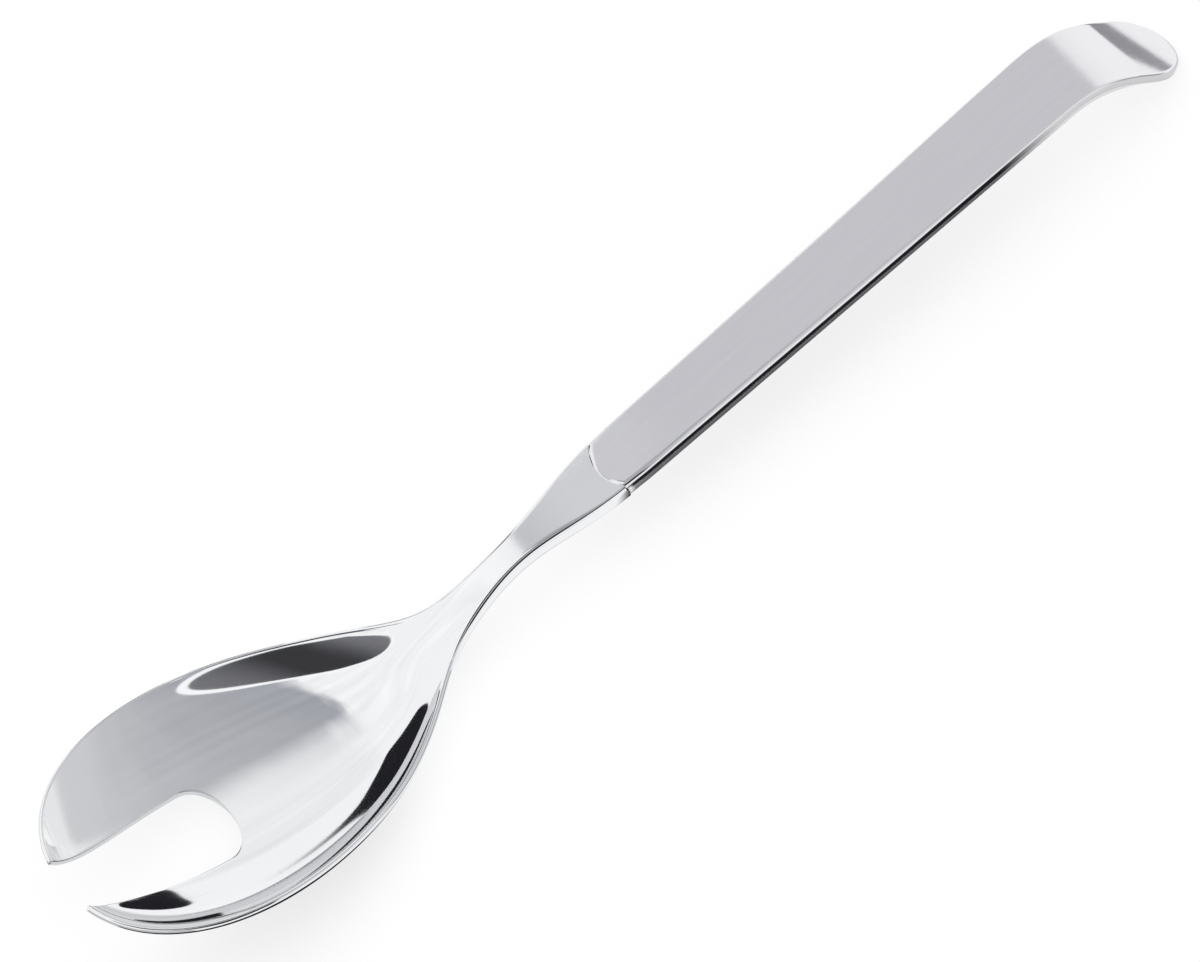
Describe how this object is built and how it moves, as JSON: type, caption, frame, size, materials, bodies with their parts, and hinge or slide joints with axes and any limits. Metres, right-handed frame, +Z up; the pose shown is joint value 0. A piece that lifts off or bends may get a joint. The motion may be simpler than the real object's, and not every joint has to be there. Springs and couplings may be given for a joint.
{
  "type": "serving fork",
  "caption": "Steel serving fork: polished egg-shaped bowl with a deep slot between two tines, slim neck, flat satin handle and a hooked end that hangs on a dish rim.",
  "frame": {"origin": "middle of the bounding box at its bottom, on the table under the fork as it lies on its belly and the tip of its hook", "axes": "+X along the fork from the tines to the hook, +Y across it, +Z up out of the bowl"},
  "size_m": [0.262, 0.0626, 0.0211],
  "materials": {
    "polished_steel": "mirror-polished stainless steel",
    "satin_steel": "fine satin stainless steel",
    "weld_steel": "weld ground flush and brushed",
    "set_resin": "matt set resin"
  },
  "bodies": {
    "root": {"fork_head": "polished_steel", "handle_top_shell": "satin_steel", "handle_bottom_shell": "satin_steel", "seam_weld": "weld_steel", "handle_filler": "set_resin"}
  },
  "joints": []
}
